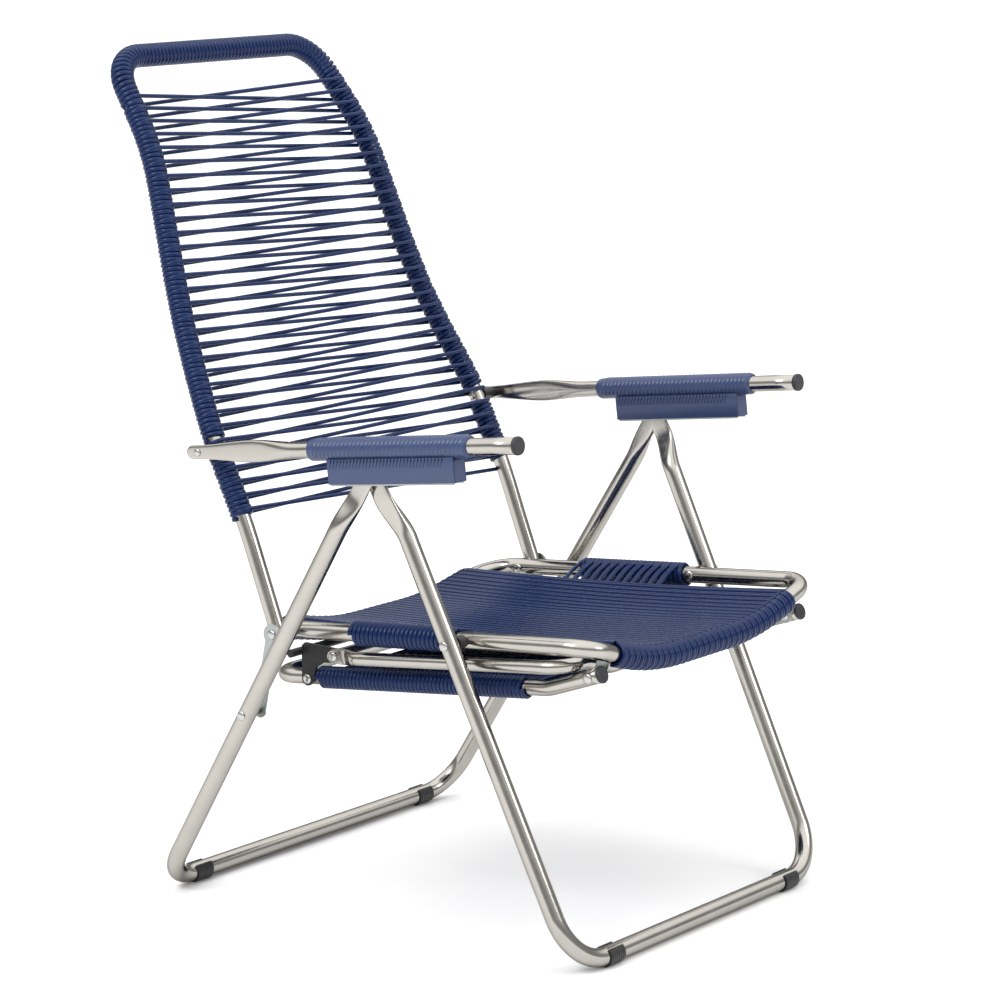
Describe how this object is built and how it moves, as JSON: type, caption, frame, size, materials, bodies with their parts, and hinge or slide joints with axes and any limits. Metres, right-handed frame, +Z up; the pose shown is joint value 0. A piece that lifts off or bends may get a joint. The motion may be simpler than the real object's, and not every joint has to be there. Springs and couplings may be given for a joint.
{
  "type": "beach chair",
  "caption": "Folding high-back beach chair with bent steel tube legs, cord-strung seat and reclining back, ribbed armrest grips and a stowed swing-out footrest.",
  "frame": {"origin": "centre of the footprint box on the floor", "axes": "-Y towards the front of the chair, +X to the sitter's left, +Z up"},
  "size_m": [0.618, 0.7885, 1.0305],
  "materials": {
    "steel_tube": "polished satin tube",
    "rivet_steel": "satin",
    "zinc_plate": "dull zinc plating",
    "cord": "smooth plastic-coated cord, navy",
    "blue_plastic": "ribbed, satin",
    "black_plastic": "satin",
    "grey_plastic": "satin"
  },
  "bodies": {
    "front_legs": {"front_leg_frame": "steel_tube", "front_clip_left": "black_plastic", "front_clip_right": "black_plastic", "apex_pins": "rivet_steel", "seat_pivot_rivets": "rivet_steel", "seat_pivot_spacers": "black_plastic"},
    "rear_legs": {"rear_leg_frame": "steel_tube", "rear_clip_left": "black_plastic", "rear_clip_right": "black_plastic", "link_rivets": "rivet_steel"},
    "seat": {"seat_frame": "steel_tube", "seat_wrap_front": "cord", "seat_wrap_rear": "cord", "seat_wrap_left": "cord", "seat_wrap_right": "cord", "seat_strands": "cord", "seat_cross_cords": "cord", "footrest_hinge_plates": "zinc_plate", "back_pivot_rivets": "rivet_steel", "back_pivot_washers": "black_plastic"},
    "links": {"link_left": "zinc_plate", "link_right": "zinc_plate"},
    "backrest": {"back_frame": "steel_tube", "back_wrap_top": "cord", "back_wrap_left": "cord", "back_wrap_right": "cord", "back_strands": "cord", "arm_spacers": "black_plastic", "arm_rivets": "rivet_steel"},
    "armrest_left": {"arm_tube_left": "steel_tube", "arm_grip_left": "blue_plastic", "arm_housing_left": "blue_plastic", "arm_rail_left": "zinc_plate", "arm_cap_left": "grey_plastic"},
    "armrest_right": {"arm_tube_right": "steel_tube", "arm_grip_right": "blue_plastic", "arm_housing_right": "blue_plastic", "arm_rail_right": "zinc_plate", "arm_cap_right": "grey_plastic"},
    "footrest": {"footrest_frame": "steel_tube", "footrest_wrap_left": "cord", "footrest_wrap_right": "cord", "footrest_strands": "cord", "footrest_caps": "grey_plastic", "footrest_hinge_rivets": "rivet_steel", "bracket_left": "black_plastic", "bracket_right": "black_plastic", "bracket_bar": "black_plastic", "bracket_rivets": "rivet_steel", "prop_frame": "steel_tube", "prop_rivets": "rivet_steel"}
  },
  "joints": [
    {"name": "leg_fold", "type": "hinge", "parent": "front_legs", "child": "rear_legs", "pos_m": [0, -0.1089, 0.562], "axis": [-1, 0, 0], "range_deg": [0, 35]},
    {"name": "seat_fold", "type": "hinge", "parent": "front_legs", "child": "seat", "pos_m": [0, -0.2079, 0.37], "axis": [-1, 0, 0], "range_deg": [0, 56.3]},
    {"name": "footrest_swing", "type": "hinge", "parent": "seat", "child": "footrest", "pos_m": [0, -0.3689, 0.3441], "axis": [1, 0, 0], "range_deg": [-28, 0]},
    {"name": "back_fold", "type": "hinge", "parent": "seat", "child": "backrest", "pos_m": [0, 0.0611, 0.3451], "axis": [-1, 0, 0], "range_deg": [-54.1, 0]},
    {"name": "link_swing", "type": "hinge", "parent": "seat", "child": "links", "pos_m": [0, 0.0611, 0.3451], "axis": [-1, 0, 0], "range_deg": [0, 83.3]},
    {"name": "arm_fold_left", "type": "hinge", "parent": "backrest", "child": "armrest_left", "pos_m": [0, 0.1547, 0.56], "axis": [-1, 0, 0], "range_deg": [0, 56.6]},
    {"name": "arm_fold_right", "type": "hinge", "parent": "backrest", "child": "armrest_right", "pos_m": [0, 0.1547, 0.56], "axis": [-1, 0, 0], "range_deg": [0, 56.6]}
  ],
  "couplings": [
    {"joint": "seat_fold", "follows": "leg_fold", "ratio": 1.6065},
    {"joint": "back_fold", "follows": "leg_fold", "ratio": -1.5451},
    {"joint": "link_swing", "follows": "leg_fold", "ratio": 2.3782},
    {"joint": "arm_fold_left", "follows": "leg_fold", "ratio": 1.6165},
    {"joint": "arm_fold_right", "follows": "leg_fold", "ratio": 1.6165}
  ]
}
